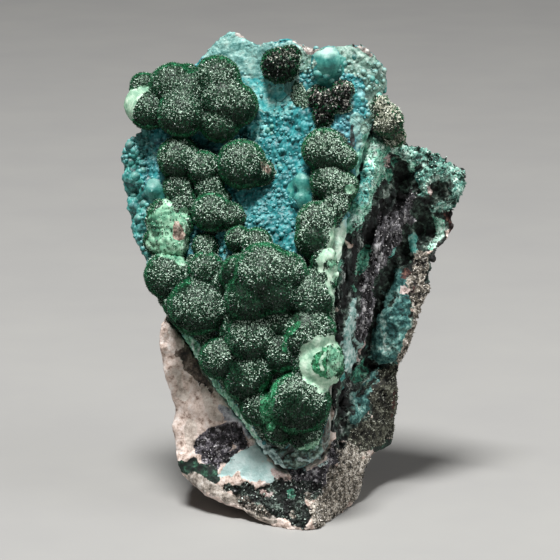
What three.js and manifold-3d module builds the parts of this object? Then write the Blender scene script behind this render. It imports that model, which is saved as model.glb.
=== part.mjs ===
// A hand specimen of malachite on chrysocolla, grown on rhyolite, standing on its broken foot.
// Millimetres. Everything is shaped in the frame of its face: x to the right, y up the face and z
// out of it. The exported group stands that frame up, with +Z as height and the face towards -Y.
import * as THREE from "three";
import { ImprovedNoise } from "three/addons/math/ImprovedNoise.js";
import { mergeVertices } from "three/addons/utils/BufferGeometryUtils.js";
import Module from "manifold-3d";

// Driving dimensions.
const LEAN = THREE.MathUtils.degToRad(13); // the face leans back this far from upright
const GAP = 0.3; // clearance between pieces that touch
const CRUST_THICKNESS = 7; // under the crest, and about 5 away from it
const CHIPPING = 0.03; // depth of the chips along the broken edges, as a share of the radius
const FAR = 60; // reach of the cutting tools, clear of the whole stone
const MERGED = 0.15; // facets that are closer than this to one plane are merged

// The crest where the front turns into the right side: height up the face, x, z.
const CREST = [
  [-5, 4.2, 19.6],
  [5, 6.4, 19.0],
  [13, 7.2, 18.6],
  [26, 7.4, 19.6],
  [37, 7.6, 20.2],
  [48, 8.0, 20.2],
  [58, 8.4, 19.8],
  [67, 9.4, 19.0],
  [76, 11.4, 18.0],
  [85, 14.0, 17.0],
  [97, 16.0, 16.0],
];
const CRUST_FALL = { left: 0.32, right: 0.8 }; // slopes of the crust away from the crest
const TAIL_FALL = 0.42; // slope of the bare rock to the left of the crest
const SIDE_FALL = 1.9; // slope of the broken right side

// Outline of the crust, clockwise from its highest point.
const CRUST_OUTLINE = [
  [-11.8, 95.5], [-9.2, 93.7], [-7.2, 91.9], [-4.8, 92.7], [-1.4, 93.9], [1.2, 92.5],
  [3.6, 91.1], [9.6, 90.9], [11.6, 92.3], [14.4, 91.3], [17.2, 88.7], [18.8, 86.5],
  [19.2, 84.1], [17.6, 81.7], [17.2, 79.7], [16.0, 75.9], [14.4, 71.3], [13.0, 66.5],
  [12.0, 62.5], [11.0, 57.9], [10.6, 52.9], [9.2, 48.5], [8.4, 42.9], [8.2, 36.9],
  [8.4, 31.9], [7.8, 25.9], [7.8, 18.9], [7.6, 12.9], [6.0, 9.9], [1.6, 7.3],
  [-1.6, 6.9], [-4.4, 9.9], [-8.4, 14.9], [-12.4, 20.5], [-16.0, 24.9], [-18.4, 28.9],
  [-21.2, 33.3], [-25.4, 38.5], [-27.0, 41.3], [-28.4, 44.9], [-29.0, 48.5], [-31.0, 51.7],
  [-32.2, 55.3], [-33.0, 59.9], [-34.2, 64.9], [-34.4, 69.3], [-33.4, 72.5], [-30.8, 74.5],
  [-28.4, 78.5], [-24.8, 83.3], [-20.4, 87.7], [-16.4, 91.9], [-14.0, 94.3],
];
const CRUST_CENTRE = [-5, 52];

// Outline of the rock, clockwise from where it passes behind the crust's top right corner.
const ROCK_OUTLINE = [
  [19.6, 79.0], [21.2, 77.9], [22.6, 73.9], [23.8, 71.7], [28.2, 71.3], [30.4, 69.5],
  [33.2, 68.3], [36.0, 66.3], [34.0, 62.9], [33.4, 59.3], [33.0, 54.9], [31.0, 52.3],
  [28.8, 49.3], [28.4, 45.3], [28.2, 42.5], [25.6, 37.7], [24.2, 33.9], [23.2, 29.7],
  [21.2, 25.3], [21.6, 20.9], [21.0, 14.9], [20.6, 10.7], [18.6, 9.3], [15.4, 9.5],
  [14.6, 6.9], [14.0, 3.3], [13.0, -0.9], [10.6, -2.1], [8.2, -2.5], [3.2, -5.4],
  [-3.4, -4.0], [-8.8, -1.7], [-14.0, 0.6], [-18.4, 3.1], [-21.2, 4.9], [-23.2, 8.5],
  [-23.4, 11.9], [-24.4, 15.3], [-23.6, 17.3], [-24.0, 20.5], [-25.2, 25.3], [-26.0, 29.5],
  [-26.6, 34.3], [-25.4, 38.3], [-25.2, 45.0], [-27.6, 53.0], [-29.2, 61.0], [-29.0, 69.8],
  [-24.0, 77.5], [-19.4, 83.0], [-15.2, 87.6], [-11.4, 90.6], [-7.0, 88.6], [-1.4, 90.0],
  [5.0, 87.4], [10.6, 88.2], [14.4, 86.6], [15.8, 83.0],
];
const ROCK_CENTRE = [-1.5, 42];
// Break planes of the rock's back, as a point x, y, z and the slopes along x and y.
const BREAKS = [
  [0, 40, -15.5, 0.04, 0.2],
  [-14, 30, -14.0, -0.62, 0.06],
  [14, 62, -9.0, 0.42, 0.3],
  [4, 4, -15.5, 0.1, -0.75],
  [-8, 78, -3.5, -0.3, 0.8],
];

// Hollows broken into the rock's right side: x, y, radius, depth.
const PITS = [
  [22.4, 65.7, 2.8, 4.5],
  [27.2, 54.5, 3.6, 5.5],
  [17.8, 26.7, 2.4, 3.5],
  [18.0, 11.3, 2.8, 3.5],
];
// The cleft between the dark seam and the turquoise pocket wall, as x, y points down its floor.
const CLEFT = [[23.0, 53.0], [20.0, 43.9], [16.8, 34.9], [13.2, 23.9], [10.8, 14.0]];
const CLEFT_DEPTH = 5.5;
const CLEFT_WIDTH = 2.4;

// Smooth chrysocolla bubbles fused to the crust: x, y, radius.
const BUBBLES = [
  [6.9, 88.0, 3.4], [6.2, 85.2, 1.8], [2.3, 64.1, 2.4], [1.8, 60.6, 2.0],
  [-27.8, 62.9, 1.9], [-31.6, 65.4, 1.9],
];

// Malachite balls by cluster: x, y, radius, and how far the centre stands off as a share of it.
const CLUSTERS = {
  malachite_main_mass: [
    [-24.6, 45.9, 4.7], [-22.2, 40.3, 3.3], [-19.8, 42.6, 3.1, 0.2], [-16.8, 38.9, 4.3, 0.5],
    [-17.0, 46.9, 3.5, 0.4], [-17.2, 51.6, 2.5, 0.2], [-13.4, 43.8, 3.6, -0.1],
    [-10.7, 53.0, 2.5, 0.3], [-7.1, 52.0, 3.1, 0.3], [-5.6, 47.2, 5.1, 1.0],
    [-1.0, 46.5, 3.8, 1.1], [-10.4, 46.0, 3.8, 0.8], [-8.4, 41.5, 4.7, 0.8],
    [3.4, 41.6, 4.8, 0.15], [6.0, 45.6, 3.1, 0], [4.1, 34.8, 4.4, 0.1], [-7.4, 33.9, 4.4, -0.1],
    [-1.9, 37.0, 3.6, -0.1], [-11.2, 35.2, 3.1, 0], [-1.9, 31.0, 4.2, -0.1],
    [-14.1, 29.8, 4.1], [-6.8, 27.8, 3.3, 0.2], [-9.7, 24.7, 3.5, 0.2], [1.4, 21.1, 6.2, 0.25],
    [5.6, 29.4, 4.4, 0.15], [-5.7, 19.6, 3.3, 0.2], [-2.6, 15.8, 3.1, 0.1], [2.8, 14.5, 3.4, 0.1],
  ],
  malachite_right_column: [
    [6.2, 70.5, 4.2], [10.2, 68.7, 2.5, 0.2], [7.0, 64.2, 3.5, 0.1], [9.9, 63.3, 3.0, 0.05],
    [8.6, 59.6, 2.7, 0], [4.8, 56.3, 3.9], [4.5, 53.0, 3.9],
  ],
  malachite_left_column: [
    [-22.6, 69.2, 4.2, 0.35], [-17.6, 67.2, 3.3, 0.35], [-22.6, 63.2, 3.0, 0.2],
    [-16.4, 63.3, 2.8], [-13.9, 61.2, 1.7], [-16.0, 58.3, 3.8, 0.4], [-12.0, 57.5, 2.6],
    [-24.6, 56.8, 4.7, -0.35], [-26.6, 52.6, 3.1, -0.35], [-21.4, 60.2, 2.8, 0],
  ],
  malachite_upper_left: [
    [-29.6, 80.0, 4.0, 0.4], [-28.5, 78.8, 3.8, 1.0], [-29.6, 83.8, 2.8, 0.4],
    [-23.8, 83.6, 4.6, 0.7], [-20.8, 86.2, 1.9, 0.7], [-22.0, 78.0, 4.7, 0.9],
    [-14.8, 85.0, 4.5, 0.7], [-14.2, 81.2, 3.8, 0.7], [-11.0, 79.7, 4.2, 0.6],
    [-14.4, 76.2, 3.9, 0.6], [-18.2, 80.8, 3.5, 0.7],
  ],
  malachite_centre_ball: [[-10.0, 67.9, 4.8, 0.5], [-6.1, 66.2, 2.5, 0.3]],
  malachite_top_ball: [[-2.5, 87.5, 3.6, 0.4], [-0.6, 89.4, 2.0, 0.4]],
  malachite_crown_tuft: [
    [7.2, 80.0, 2.5], [6.1, 77.4, 2.1], [9.8, 82.0, 2.1], [5.2, 81.0, 2.0], [10.4, 79.4, 1.5],
  ],
  malachite_shoulder: [[18.8, 76.6, 3.2, 0.2], [20.4, 73.6, 2.3, -0.4], [17.6, 79.4, 2.0]],
};
const STAND_OFF = 0.3; // share of a ball's radius that its centre stands off the crust

const noise = new ImprovedNoise();

// Perlin noise of a given grain size, from -1 to 1.
function rough(x, y, z, grain) {
  return noise.noise(x / grain + 17.3, y / grain + 5.1, z / grain + 9.7);
}

// The row of a table at height y, each value blended between the rows above and below.
function along(table, y) {
  const last = table.length - 1;
  let i = 0;
  while (i < last - 1 && table[i + 1][0] < y) i += 1;
  const [low, high] = [table[i], table[i + 1]];
  const share = THREE.MathUtils.clamp((y - low[0]) / (high[0] - low[0]), 0, 1);
  return low.map((value, k) => value + share * (high[k] - value));
}

// A hump that is 1 at its centre and dies away over its radii.
function hump(x, y, cx, cy, rx, ry) {
  return Math.exp(-(((x - cx) / rx) ** 2) - ((y - cy) / ry) ** 2);
}

// Distance from (x, y) to a line through the given points.
function distanceTo(points, x, y) {
  const here = new THREE.Vector3(x, y, 0);
  const nearest = new THREE.Vector3();
  let best = Infinity;
  for (let i = 1; i < points.length; i += 1) {
    const from = new THREE.Vector3(...points[i - 1], 0);
    const to = new THREE.Vector3(...points[i], 0);
    new THREE.Line3(from, to).closestPointToPoint(here, true, nearest);
    best = Math.min(best, nearest.distanceTo(here));
  }
  return best;
}

// A roof along the crest, with a slope on each side and a rounded top.
function roof(x, y, left, right, rounding = 1.2) {
  const [, crestX, crestZ] = along(CREST, y);
  const side = x - crestX;
  const rounded = Math.hypot(side, rounding) - rounding;
  return crestZ + ((left - right) / 2) * side - ((left + right) / 2) * rounded;
}

// Front of the crust: a roof with a basin of chrysocolla and a swell under the malachite.
function crustFront(x, y) {
  const basin = 3.4 * hump(x, y, -5, 70, 11, 17);
  const swell = 3.2 * hump(x, y, -6, 34, 13, 15);
  const lumps = 0.55 * rough(x, y, 0, 4.5) + 0.35 * rough(x, y, 4, 2.2);
  return roof(x, y, CRUST_FALL.left, CRUST_FALL.right) - basin + swell + lumps;
}

// Front of the rock: the tail, the broken right side, the wing behind it, the cleft and the pits.
function rockFront(x, y) {
  const edge = new THREE.Line3(new THREE.Vector3(-25.4, 38.5, 0), new THREE.Vector3(-1.6, 6.9, 0));
  const direction = edge.delta(new THREE.Vector3()).normalize();
  const inside = (x - edge.start.x) * -direction.y + (y - edge.start.y) * direction.x;
  const tail = roof(x, y, TAIL_FALL, SIDE_FALL) - 0.8;
  const bed = roof(x, y, CRUST_FALL.left, SIDE_FALL) - CRUST_THICKNESS * 0.5;
  const left = THREE.MathUtils.lerp(tail, bed, THREE.MathUtils.smoothstep(inside, 0.5, 4));
  const wing = 4.5 + 0.1 * (y - 60) - 0.28 * (x - 22) - 0.009 * Math.max(0, 46 - y) ** 2;
  let z = Math.max(left, wing);
  z -= CLEFT_DEPTH * Math.exp(-((distanceTo(CLEFT, x, y) / CLEFT_WIDTH) ** 2));
  for (const [px, py, radius, depth] of PITS) z -= depth * hump(x, y, px, py, radius, radius);
  const right = THREE.MathUtils.smoothstep(x, 6, 12);
  const grit = 0.7 + 0.6 * right;
  return z + grit * (rough(x, y, z, 7) + 0.5 * rough(x, y, z, 3.5));
}

// Back of the rock: it broke along a few planes, and each left a rough face.
function rockBack(x, y) {
  const planes = BREAKS.map(([px, py, z, alongX, alongY]) => z + alongX * (x - px) + alongY * (y - py));
  return Math.max(...planes) + 1.5 * rough(x, y, 30, 9) + 0.8 * rough(x, y, 30, 4);
}

// Points of a closed outline at equal steps, moved outwards by grow.
function outlineAt(outline, count, grow = 0) {
  const corners = outline.map(([x, y]) => new THREE.Vector3(x, y, 0));
  const curve = new THREE.CatmullRomCurve3(corners, true, "catmullrom", 0.25);
  const points = [];
  for (let i = 0; i < count; i += 1) {
    const point = curve.getPointAt(i / count);
    const tangent = curve.getTangentAt(i / count);
    points.push([point.x - grow * tangent.y, point.y + grow * tangent.x]);
  }
  return points;
}

// A closed slab between two surfaces over an outline. Each surface is a web of rings, where ring k
// has 6k points, and the wall between them has steps that are drawn in towards the centre.
function slab({ outline, centre, rings, grow = 0, front, back, steps, backDraw }) {
  const count = 6 * rings;
  const rim = outlineAt(outline, count, grow);
  const positions = [];
  const index = [];
  const add = (x, y, z) => positions.push(x, y, z) / 3 - 1;
  const towards = ([x, y], share) => [
    centre[0] + (x - centre[0]) * share,
    centre[1] + (y - centre[1]) * share,
  ];

  const web = (surface, draw, face) => {
    let inner = [add(...centre, surface(...centre))];
    for (let k = 1; k <= rings; k += 1) {
      const ring = [];
      for (let j = 0; j < 6 * k; j += 1) {
        const at = (j / (6 * k)) * count;
        const from = rim[Math.floor(at) % count];
        const to = rim[Math.ceil(at) % count];
        const blend = at - Math.floor(at);
        const onRim = [from[0] + blend * (to[0] - from[0]), from[1] + blend * (to[1] - from[1])];
        const [x, y] = towards(onRim, (draw * k) / rings);
        ring.push(add(x, y, surface(x, y)));
      }
      for (let side = 0; side < 6; side += 1) {
        for (let j = 0; j < k; j += 1) {
          const a = ring[(side * k + j) % ring.length];
          const b = ring[(side * k + j + 1) % ring.length];
          const c = inner[(side * (k - 1) + j) % inner.length];
          face(a, c, b);
          if (j < k - 1) face(b, c, inner[(side * (k - 1) + j + 1) % inner.length]);
        }
      }
      inner = ring;
    }
    return inner;
  };

  const frontRim = web(front, 1, (a, b, c) => index.push(a, b, c));
  const backRim = web(back, backDraw, (a, b, c) => index.push(a, c, b));
  const stepRings = steps.map(({ share, draw }) =>
    rim.map((point) => {
      const z = THREE.MathUtils.lerp(front(...point), back(...towards(point, backDraw)), share);
      const chipped = draw * (1 - CHIPPING * Math.abs(rough(...point, z, 5)));
      return add(...towards(point, chipped), z);
    }),
  );
  const wall = [frontRim, ...stepRings, backRim];
  for (let i = 1; i < wall.length; i += 1) {
    wall[i - 1].forEach((a, j) => {
      const next = (j + 1) % count;
      index.push(a, wall[i - 1][next], wall[i][j]);
      index.push(wall[i - 1][next], wall[i][next], wall[i][j]);
    });
  }

  const geometry = new THREE.BufferGeometry();
  geometry.setAttribute("position", new THREE.Float32BufferAttribute(positions, 3));
  geometry.setIndex(index);
  return geometry;
}

const wasm = await Module();
wasm.setup();

// A closed geometry as a solid that can be joined and cut.
function solidOf(geometry) {
  const bare = new THREE.BufferGeometry();
  const flat = geometry.index ? geometry : mergeVertices(geometry);
  bare.setAttribute("position", flat.getAttribute("position").clone());
  if (flat.index) bare.setIndex(flat.index.clone());
  const merged = mergeVertices(bare, 1e-4);
  return new wasm.Manifold(
    new wasm.Mesh({
      numProp: 3,
      vertProperties: new Float32Array(merged.attributes.position.array),
      triVerts: new Uint32Array(merged.index.array),
    }),
  );
}

// The largest body of a solid: what a cut leaves loose beside it falls away.
function largest(solid) {
  const bodies = solid.decompose();
  return bodies.reduce((best, body) => (body.volume() > best.volume() ? body : best));
}

function geometryOf(solid) {
  const { vertProperties, triVerts, numProp, numVert } = solid.getMesh();
  const positions = new Float32Array(3 * numVert);
  for (let i = 0; i < numVert; i += 1) {
    positions.set(vertProperties.subarray(i * numProp, i * numProp + 3), 3 * i);
  }
  const geometry = new THREE.BufferGeometry();
  geometry.setAttribute("position", new THREE.BufferAttribute(positions, 3));
  geometry.setIndex(new THREE.BufferAttribute(new Uint32Array(triVerts), 1));
  geometry.computeVertexNormals();
  return geometry;
}

// One rounded growth, slightly lumpy, standing at a point.
function ball([x, y, radius], z, grow = 0) {
  const geometry = new THREE.IcosahedronGeometry(1, radius > 1.7 ? 1 : 0);
  const position = geometry.getAttribute("position");
  const point = new THREE.Vector3();
  for (let i = 0; i < position.count; i += 1) {
    point.fromBufferAttribute(position, i).normalize();
    const at = point.clone().multiplyScalar(radius);
    const swell = 1 + 0.06 * rough(x + at.x, y + at.y, z + at.z, 3);
    point.multiplyScalar(radius * swell + grow);
    position.setXYZ(i, x + point.x, y + point.y, z + point.z);
  }
  geometry.deleteAttribute("normal");
  geometry.deleteAttribute("uv");
  return solidOf(mergeVertices(geometry, 1e-4));
}

function joined(balls, grow = 0) {
  return balls
    .map((each) => {
      const [x, y, radius, standOff = STAND_OFF] = each;
      return ball(each, crustFront(x, y) + standOff * radius, grow);
    })
    .reduce((sum, each) => sum.add(each));
}

function makeCrust(shape) {
  return solidOf(slab({ outline: CRUST_OUTLINE, centre: CRUST_CENTRE, rings: 12, ...shape }));
}

function crustBack(x, y) {
  return roof(x, y, CRUST_FALL.left, CRUST_FALL.right, 5) - CRUST_THICKNESS;
}

function makeRock() {
  return solidOf(
    slab({
      outline: ROCK_OUTLINE,
      centre: ROCK_CENTRE,
      rings: 13,
      front: rockFront,
      back: rockBack,
      steps: [
        { share: 0.2, draw: 1.0 },
        { share: 0.45, draw: 0.985 },
        { share: 0.7, draw: 0.96 },
        { share: 0.9, draw: 0.93 },
      ],
      backDraw: 0.86,
    }),
  );
}

// Everything below the table that the specimen stands on, in the frame of its face.
function makeFloor() {
  const floor = new THREE.BoxGeometry(2 * FAR, 2 * FAR, FAR);
  floor.translate(0, 0, -FAR / 2);
  floor.rotateX(LEAN - Math.PI / 2);
  return solidOf(mergeVertices(floor.deleteAttribute("normal").deleteAttribute("uv")));
}

function finish(name, solid, colour, roughness) {
  const material = new THREE.MeshStandardMaterial({ color: colour, roughness, metalness: 0 });
  const mesh = new THREE.Mesh(geometryOf(solid.asOriginal().simplify(MERGED)), material);
  mesh.name = name;
  return mesh;
}

const specimen = new THREE.Group();
specimen.rotation.x = Math.PI / 2 - LEAN;

const crustPlate = makeCrust({
  front: crustFront,
  back: crustBack,
  steps: [{ share: 0.5, draw: 0.99 }],
  backDraw: 0.975,
});
const crust = crustPlate.add(joined(BUBBLES));
const crustCutter = makeCrust({
  grow: GAP,
  front: (x, y) => crustFront(x, y) + GAP,
  back: () => -FAR,
  steps: [],
  backDraw: 1,
});
const bedCutter = makeCrust({
  grow: GAP,
  front: () => FAR,
  back: (x, y) => crustBack(x, y) - GAP,
  steps: [],
  backDraw: 1,
});

const placed = [joined(BUBBLES, GAP)];
const growths = [];
for (const [name, balls] of Object.entries(CLUSTERS)) {
  let cluster = joined(balls).subtract(crustCutter);
  for (const other of placed) cluster = cluster.subtract(other);
  placed.push(joined(balls, GAP));
  growths.push(finish(name, cluster, 0x1f4a35, 0.8));
}

let rock = makeRock().subtract(makeFloor()).subtract(bedCutter);
for (const other of placed) rock = rock.subtract(other);

specimen.add(finish("host_rock", largest(rock), 0x9c8f86, 0.9));
specimen.add(finish("chrysocolla_crust", crust, 0x5fb0ae, 0.55));
specimen.add(...growths);

export default specimen;
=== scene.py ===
"""A malachite and chrysocolla hand specimen on rhyolite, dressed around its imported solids.

Each solid gets one fine piece of its own: a copy of its mesh is made anew with even facets, and
its surface is raised and coloured by mineral. Then the malachite gets its coat of small crystals,
the crust its beads and the rock its grains.
"""
import itertools
import math

import bpy
import numpy as np
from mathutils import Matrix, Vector
from mathutils.bvhtree import BVHTree


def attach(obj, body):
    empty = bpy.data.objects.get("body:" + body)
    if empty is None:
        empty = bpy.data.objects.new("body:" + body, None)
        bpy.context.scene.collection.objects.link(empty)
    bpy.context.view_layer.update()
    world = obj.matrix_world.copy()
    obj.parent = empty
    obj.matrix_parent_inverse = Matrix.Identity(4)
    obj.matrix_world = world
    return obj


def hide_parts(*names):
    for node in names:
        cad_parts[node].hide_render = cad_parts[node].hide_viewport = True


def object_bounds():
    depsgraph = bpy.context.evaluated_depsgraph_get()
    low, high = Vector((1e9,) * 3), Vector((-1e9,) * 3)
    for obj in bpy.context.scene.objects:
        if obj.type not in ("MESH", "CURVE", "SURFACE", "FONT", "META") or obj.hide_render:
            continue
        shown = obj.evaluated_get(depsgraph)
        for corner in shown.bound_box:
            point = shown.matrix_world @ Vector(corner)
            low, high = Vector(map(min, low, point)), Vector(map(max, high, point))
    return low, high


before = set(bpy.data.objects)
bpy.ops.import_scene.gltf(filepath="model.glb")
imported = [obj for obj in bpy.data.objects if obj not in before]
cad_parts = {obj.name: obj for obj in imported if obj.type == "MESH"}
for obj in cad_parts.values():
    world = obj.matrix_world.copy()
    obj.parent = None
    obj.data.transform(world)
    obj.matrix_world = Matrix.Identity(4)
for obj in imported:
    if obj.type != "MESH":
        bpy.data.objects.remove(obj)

cad_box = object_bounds()

MM = 0.001
LEAN = math.radians(13)  # the specimen's face leans back this far from upright
FRONT = 60  # mm out of the face, past everything that grows on it
AHEAD = (-0.3, 0.1)  # how far a vertex faces forward where a zone fades in, and where it is whole
MALACHITE = [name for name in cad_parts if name.startswith("malachite")]


# ------------------------------ places on the face

def on_face(points):
    """Row positions in metres as x across, y up and z out of the leaning face, in millimetres."""
    x, y, z = np.asarray(points).T / MM
    up = y * math.sin(LEAN) + z * math.cos(LEAN)
    out = z * math.sin(LEAN) - y * math.cos(LEAN)
    return np.stack([x, up, out], axis=1)


def from_face(x, up, out):
    """The row position, in metres, of a place that is given on the leaning face."""
    y = up * math.sin(LEAN) - out * math.cos(LEAN)
    z = up * math.cos(LEAN) + out * math.sin(LEAN)
    return Vector((x, y, z)) * MM


def lattice(cells, seed):
    """A steady random value from 0 to 1 for each whole-numbered cell."""
    x, y, z = cells.astype(np.int64).T + 1013 * seed
    mixed = (x * 73856093) ^ (y * 19349663) ^ (z * 83492791)
    mixed = (mixed ^ (mixed >> 13)) * 1274126177
    return ((mixed ^ (mixed >> 16)) & 0xFFFFFF) / 0xFFFFFF


def noise(points, grain, seed=0):
    """Smooth noise from -1 to 1 whose lumps are one grain, in millimetres, across."""
    cell = np.floor(points / grain)
    part = points / grain - cell
    part = part * part * (3 - 2 * part)
    total = np.zeros(len(points))
    for corner in itertools.product((0, 1), repeat=3):
        total += np.prod(np.where(corner, part, 1 - part), axis=1) * lattice(cell + corner, seed)
    return 2 * total - 1


def fractal(points, grain, seed=0, octaves=3):
    return sum(noise(points, grain / 2**k, seed + 31 * k) / 2**k for k in range(octaves))


def smoothstep(value, low, high):
    share = np.clip((value - low) / (high - low), 0, 1)
    return share * share * (3 - 2 * share)


def patch(points, shapes, edge=0.5, ragged=1.0, grain=3.0, seed=1):
    """How far points lie inside given shapes, from 0 to 1, behind one ragged edge.

    A shape is a line of stops: x and y on the face, and the half width of the band there. Wide
    bands get the raggedest edges.
    """
    flat = points[:, :2]
    wander = ragged * fractal(points, grain, seed, 4)
    nearest = np.full(len(points), 99.0)
    for shape in shapes:
        stops = np.array(shape, dtype=float)
        for start, stop in zip(stops, stops[1:] if len(stops) > 1 else stops):
            along = (stop - start)[:2]
            share = np.clip((flat - start[:2]) @ along / max(along @ along, 1e-9), 0, 1)
            gap = np.linalg.norm(flat - start[:2] - share[:, None] * along, axis=1)
            width = start[2] + share * (stop - start)[2]
            nearest = np.minimum(nearest, gap - width + (0.3 + 0.35 * width) * wander)
    return 1 - smoothstep(nearest, -edge, edge)


# ------------------------------ shaping a piece

def activate(piece):
    bpy.ops.object.select_all(action="DESELECT")
    piece.select_set(True)
    bpy.context.view_layer.objects.active = piece


def modify(piece, kind, **settings):
    activate(piece)
    modifier = piece.modifiers.new(kind.lower(), kind)
    for name, value in settings.items():
        setattr(modifier, name, value)
    bpy.ops.object.modifier_apply(modifier=modifier.name)


def new_object(name, data):
    made = bpy.data.objects.new(name, data)
    bpy.context.collection.objects.link(made)
    return made


def fine_copy(node, facet, rounding, lobes=()):
    """A copy of a solid's mesh, made anew with even facets and its facet edges rounded.

    Lobes are round swells that become one with it: x, y, radius, and how far the centre stands out
    of the crust, or for the rock out of the rock, as a share of the radius.
    """
    piece = new_object(f"{node}_surface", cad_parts[node].data.copy())
    piece.data.materials.clear()
    activate(piece)
    bpy.ops.object.mode_set(mode="EDIT")
    bpy.ops.mesh.select_all(action="SELECT")
    bpy.ops.mesh.remove_doubles(threshold=0.001 * MM)
    ground = solids(["host_rock" if node == "host_rock" else "chrysocolla_crust"])
    for x, y, radius, stand_off in lobes:
        seat = ground.ray_cast(from_face(x, y, FRONT), from_face(0, 0, -1))[0]
        centre = seat + stand_off * radius * from_face(0, 0, 1)
        bpy.ops.mesh.primitive_ico_sphere_add(subdivisions=4, radius=radius * MM, location=centre)
    bpy.ops.object.mode_set(mode="OBJECT")
    modify(piece, "REMESH", mode="VOXEL", voxel_size=facet * MM, use_smooth_shade=True)
    modify(piece, "SMOOTH", factor=0.5, iterations=rounding)
    return piece


def places(piece, name="co"):
    """The place of each vertex, or another value that it has."""
    values = np.empty(3 * len(piece.data.vertices))
    piece.data.vertices.foreach_get(name, values)
    return values.reshape(-1, 3)


def normals(piece):
    return places(piece, "normal")


def move(piece, points):
    piece.data.vertices.foreach_set("co", points.ravel())
    piece.data.update()


def mark(piece, name, weights):
    """Stores a value for each vertex, for the materials, and as a group for the modifiers."""
    attribute = piece.data.attributes.new(name, "FLOAT", "POINT")
    attribute.data.foreach_set("value", np.asarray(weights, dtype=np.float32))
    group = piece.vertex_groups.new(name=name)
    steps = 16
    levels = np.round(np.clip(weights, 0, 1) * steps).astype(int)
    for level in range(1, steps + 1):
        chosen = np.nonzero(levels == level)[0].tolist()
        if chosen:
            group.add(chosen, level / steps, "REPLACE")


def relief(piece, pattern, grain, height, zone="", level=0.5):
    """Raises the surface along its normals by a pattern with a real grain and height in mm.

    SOFT lumps roll and HARD lumps are creased. BEADS are packed and round: high in the middle of
    each grain, with a groove all around it.
    """
    kind = "VORONOI" if pattern == "BEADS" else "CLOUDS"
    texture = bpy.data.textures.new(f"{piece.name}_{pattern.lower()}", kind)
    texture.noise_scale = grain * MM
    if pattern == "BEADS":
        texture.distance_metric = "DISTANCE_SQUARED"
        height, level = -height, 0.25
    else:
        texture.noise_type = f"{pattern}_NOISE"
    modify(piece, "DISPLACE", texture=texture, texture_coords="LOCAL", vertex_group=zone,
           strength=height * MM, mid_level=level)


def hollows(piece, reach):
    """How far below its surroundings each vertex lies, in mm. Reach counts edges outwards."""
    edges = np.empty(2 * len(piece.data.edges), dtype=np.int64)
    piece.data.edges.foreach_get("vertices", edges)
    first, second = edges.reshape(-1, 2).T
    points = places(piece)
    count = np.bincount(np.concatenate([first, second]), minlength=len(points))[:, None]
    spread = points.copy()
    for _ in range(reach):
        total = np.empty_like(spread)
        for axis in range(3):
            total[:, axis] = (
                np.bincount(first, spread[second, axis], len(points))
                + np.bincount(second, spread[first, axis], len(points))
            )
        spread = total / count
    return np.sum((spread - points) * normals(piece), axis=1) / MM


def refine(piece, chosen):
    """Splits the faces whose corners are all chosen, where finer detail is to show."""
    mesh = piece.data
    mesh.vertices.foreach_set("select", chosen)
    mesh.edges.foreach_set("select", np.zeros(len(mesh.edges), dtype=bool))
    mesh.polygons.foreach_set("select", np.zeros(len(mesh.polygons), dtype=bool))
    activate(piece)
    bpy.context.tool_settings.mesh_select_mode = (True, False, False)
    bpy.ops.object.mode_set(mode="EDIT")
    bpy.ops.mesh.subdivide(number_cuts=1)
    bpy.ops.object.mode_set(mode="OBJECT")


def solids(names):
    """The surface of some solids, for measuring how far away it lies."""
    points, faces = [], []
    for name in names:
        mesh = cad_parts[name].data
        faces += [[len(points) + corner for corner in face.vertices] for face in mesh.polygons]
        points += [corner.co[:] for corner in mesh.vertices]
    return BVHTree.FromPolygons(points, faces)


def distances(points, surface):
    """How far each place is from a surface, in mm."""
    return np.array([surface.find_nearest(place)[3] for place in points]) / MM


def covered(points, surface):
    """Whether a surface lies in front of each place, seen straight onto the face."""
    out = from_face(0, 0, 1).normalized()
    reach = FRONT * MM
    return np.array([surface.ray_cast(Vector(place), out, reach)[0] is not None for place in points])


def grow_crystals(piece, name, seats, tints, size, seed, tilt=0.3):
    """A coat of small closed pyramids, one on each chosen vertex of a piece, in one mesh.

    Their size is in mm, and tilt is how far they stray from upright. It is mesh code because
    thousands of separate points are more than the edit tools can set one by one.
    """
    random = np.random.default_rng(seed)
    foot, up = places(piece)[seats], normals(piece)[seats]
    count = len(foot)
    up = up + tilt * random.normal(size=(count, 3))
    up /= np.linalg.norm(up, axis=1)[:, None]
    side = np.cross(up, random.normal(size=(count, 3)))
    side /= np.linalg.norm(side, axis=1)[:, None]
    cross = np.cross(up, side)
    width = (size * random.uniform(0.75, 1.25, count) / 2 * MM)[:, None]
    height = (size * random.uniform(0.6, 1.3, count) * MM)[:, None]
    sunk = 0.35 * width * up
    corners = [foot + width * (math.cos(turn) * side + math.sin(turn) * cross) - sunk
               for turn in (0, 2 * math.pi / 3, 4 * math.pi / 3)]
    corners.append(foot + height * up)
    points = np.stack(corners, axis=1).reshape(-1, 3)
    first = 4 * np.arange(count)[:, None]
    sides = ([0, 1, 3], [1, 2, 3], [2, 0, 3], [0, 2, 1])
    faces = np.concatenate([first + side for side in sides])
    mesh = bpy.data.meshes.new(name)
    mesh.from_pydata(points.tolist(), [], faces.tolist())
    tint = mesh.attributes.new("tint", "FLOAT", "POINT")
    tint.data.foreach_set("value", np.repeat(tints, 4).astype(np.float32))
    return new_object(name, mesh)


# ------------------------------ materials

def linear(code):
    """An sRGB hex colour as the linear colour that a shader takes."""
    channels = [int(code[i:i + 2], 16) / 255 for i in (1, 3, 5)]
    return [c / 12.92 if c <= 0.04045 else ((c + 0.055) / 1.055) ** 2.4 for c in channels] + [1.0]


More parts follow.
